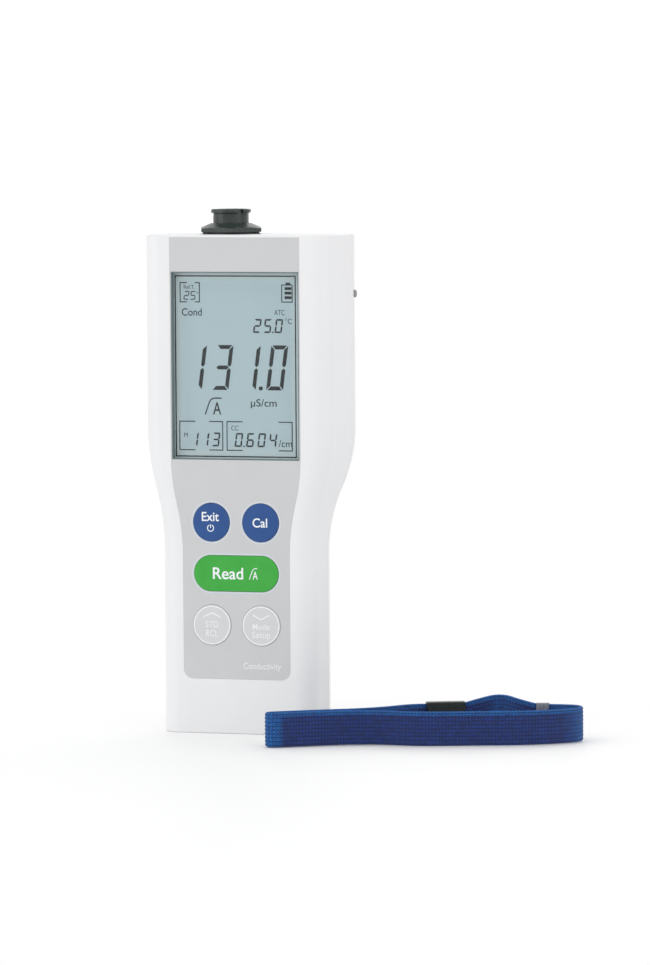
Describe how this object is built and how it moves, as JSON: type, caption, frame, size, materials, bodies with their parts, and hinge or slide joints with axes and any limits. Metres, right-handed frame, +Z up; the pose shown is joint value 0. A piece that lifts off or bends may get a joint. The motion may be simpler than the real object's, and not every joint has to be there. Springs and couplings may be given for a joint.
{
  "type": "handheld conductivity meter",
  "caption": "Upright handheld water conductivity meter with a display, keys, a round probe socket on top and a blue wrist strap.",
  "frame": {"origin": "on the surface the meter stands on, under the middle of the meter's width and depth, its strap left out", "axes": "+Z up along the meter, -Y out of its face, +X to the right as its face is seen"},
  "size_m": [0.1857, 0.0916, 0.21],
  "materials": {
    "white_case": "smooth satin moulded plastic",
    "case_gasket": "matt",
    "label": "fine matt film",
    "blue_key": "satin",
    "green_key": "satin",
    "grey_key": "satin with a pale printed ring",
    "liner": "matt",
    "window": "clear",
    "display_glass": "clear",
    "reflector": "matt silvered film",
    "frame_plastic": "moulded",
    "zebra_rubber": "matt",
    "circuit_board": "solder mask over glass laminate",
    "tin_can": "tinned",
    "chip_plastic": "moulded",
    "capacitor_sleeve": "sleeved",
    "ribbon": "flat cable",
    "dome_steel": "spring steel",
    "film": "polyester",
    "screw_steel": "zinc plated",
    "insert_brass": "turned",
    "socket_plastic": "dark moulded plastic",
    "contact_gold": "gold plated",
    "cell_sleeve": "printed sleeve, bare of words",
    "door_plastic": "smooth satin moulded plastic",
    "pad_foam": "closed foam",
    "type_plate": "blank satin foil",
    "plug_rubber": "matt",
    "strap_knit": "royal blue tubular knit tape",
    "tether_braid": "thin braided cord",
    "clip_plastic": "moulded",
    "crimp_steel": "folded plate"
  },
  "bodies": {
    "housing": {"battery_cell_1": "cell_sleeve", "battery_cell_2": "cell_sleeve", "battery_cell_3": "cell_sleeve", "battery_cell_4": "cell_sleeve", "battery_posts": "insert_brass", "board_screws": "screw_steel", "buzzer": "chip_plastic", "capacitors": "capacitor_sleeve", "case_inserts": "insert_brass", "case_screws": "screw_steel", "clock_crystal": "tin_can", "contact_plates": "tin_can", "contact_springs": "dome_steel", "controller_chip": "chip_plastic", "display_window": "window", "dome_sheet": "film", "door_inserts": "insert_brass", "front_cover": "white_case", "front_overlay": "label", "housing_gasket": "case_gasket", "input_amplifier": "chip_plastic", "input_shield": "tin_can", "lcd_frame": "frame_plastic", "lcd_front_glass": "display_glass", "lcd_rear_glass": "display_glass", "lcd_reflector": "reflector", "main_board": "circuit_board", "rear_cover": "white_case", "rear_label": "type_plate", "ribbon_header": "chip_plastic", "snap_domes": "dome_steel", "socket_board": "circuit_board", "socket_contacts": "contact_gold", "socket_gasket": "case_gasket", "socket_insert": "socket_plastic", "socket_nut": "socket_plastic", "socket_ribbon": "ribbon", "socket_shell": "socket_plastic", "strap_clip": "clip_plastic", "strap_crimp": "crimp_steel", "strap_link": "strap_knit", "strap_pin": "screw_steel", "strap_tape": "strap_knit", "strap_tether": "tether_braid", "window_liner": "liner", "zebra_strips": "zebra_rubber"},
    "exit_key": {"exit_key": "blue_key"},
    "cal_key": {"cal_key": "blue_key"},
    "read_key": {"read_key": "green_key"},
    "up_key": {"up_key": "grey_key"},
    "down_key": {"down_key": "grey_key"},
    "battery_door": {"battery_door": "door_plastic", "door_seal": "case_gasket", "battery_pad": "pad_foam", "door_screws": "screw_steel"},
    "left_plug": {"left_clip_plug": "plug_rubber"},
    "right_plug": {"right_clip_plug": "plug_rubber"}
  },
  "joints": [
    {"name": "exit_press", "type": "slide", "parent": "housing", "child": "exit_key", "axis": [0, 1, 0], "range_m": [0, 0.0004], "stiffness_N_per_m": 800},
    {"name": "cal_press", "type": "slide", "parent": "housing", "child": "cal_key", "axis": [0, 1, 0], "range_m": [0, 0.0004], "stiffness_N_per_m": 800},
    {"name": "read_press", "type": "slide", "parent": "housing", "child": "read_key", "axis": [0, 1, 0], "range_m": [0, 0.0004], "stiffness_N_per_m": 800},
    {"name": "up_press", "type": "slide", "parent": "housing", "child": "up_key", "axis": [0, 1, 0], "range_m": [0, 0.0004], "stiffness_N_per_m": 800},
    {"name": "down_press", "type": "slide", "parent": "housing", "child": "down_key", "axis": [0, 1, 0], "range_m": [0, 0.0004], "stiffness_N_per_m": 800},
    {"name": "battery_door_off", "type": "slide", "parent": "housing", "child": "battery_door", "axis": [0, 1, 0], "range_m": [0, 0.03]},
    {"name": "left_plug_pull", "type": "slide", "parent": "housing", "child": "left_plug", "axis": [-1, 0, 0], "range_m": [0, 0.008]},
    {"name": "right_plug_pull", "type": "slide", "parent": "housing", "child": "right_plug", "axis": [1, 0, 0], "range_m": [0, 0.008]}
  ]
}
